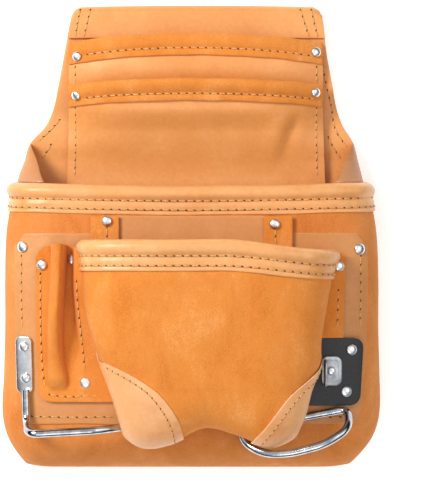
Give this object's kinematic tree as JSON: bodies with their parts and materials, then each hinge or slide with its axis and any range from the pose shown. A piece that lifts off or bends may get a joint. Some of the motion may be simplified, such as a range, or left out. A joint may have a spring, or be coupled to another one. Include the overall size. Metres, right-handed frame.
{
  "type": "carpenter nail apron",
  "caption": "Tan leather nail and tool bag worn on a belt, with suede pouches, flat pockets, a tool loop, steel hammer holders and a tape clip.",
  "frame": {"origin": "on the surface under the middle of the bag, which lies on its back", "axes": "+Y to the top of the bag with the belt tunnel, +Z out of the bag's front, +X to the right as seen from the front"},
  "size_m": [0.2554, 0.315, 0.104],
  "materials": {
    "smooth_leather": "satin",
    "panel_leather": "satin",
    "suede_leather": "matte",
    "black_leather": "satin",
    "polished_steel": "polished",
    "rivet_nickel": "polished"
  },
  "bodies": {
    "root": {"back_panel": "smooth_leather", "belt_wrap": "smooth_leather", "flange_left": "suede_leather", "flange_right": "suede_leather", "front_binding": "smooth_leather", "front_pouch": "suede_leather", "gusset_left": "smooth_leather", "gusset_right": "smooth_leather", "hammer_holder_left": "polished_steel", "hammer_holder_right": "polished_steel", "lower_pocket_front": "smooth_leather", "lower_strip": "suede_leather", "main_binding": "smooth_leather", "main_shell": "suede_leather", "patch_left": "smooth_leather", "patch_right": "smooth_leather", "rivet_clip": "rivet_nickel", "rivet_ear_foot": "rivet_nickel", "rivet_ear_top": "rivet_nickel", "rivet_flange_left_foot": "rivet_nickel", "rivet_flange_left_top": "rivet_nickel", "rivet_flange_right": "rivet_nickel", "rivet_loop": "rivet_nickel", "rivet_lower_strip_left": "rivet_nickel", "rivet_lower_strip_right": "rivet_nickel", "rivet_panel_left": "rivet_nickel", "rivet_panel_right": "rivet_nickel", "rivet_strap_left": "rivet_nickel", "rivet_strap_right": "rivet_nickel", "rivet_tab_foot": "rivet_nickel", "rivet_tab_top": "rivet_nickel", "rivet_upper_strip_left": "rivet_nickel", "rivet_upper_strip_right": "rivet_nickel", "strap_left": "suede_leather", "strap_right": "suede_leather", "tape_clip": "polished_steel", "tape_tab": "black_leather", "tool_loop": "suede_leather", "tool_panel": "panel_leather", "upper_pocket_front": "smooth_leather", "upper_strip": "suede_leather"}
  },
  "joints": []
}
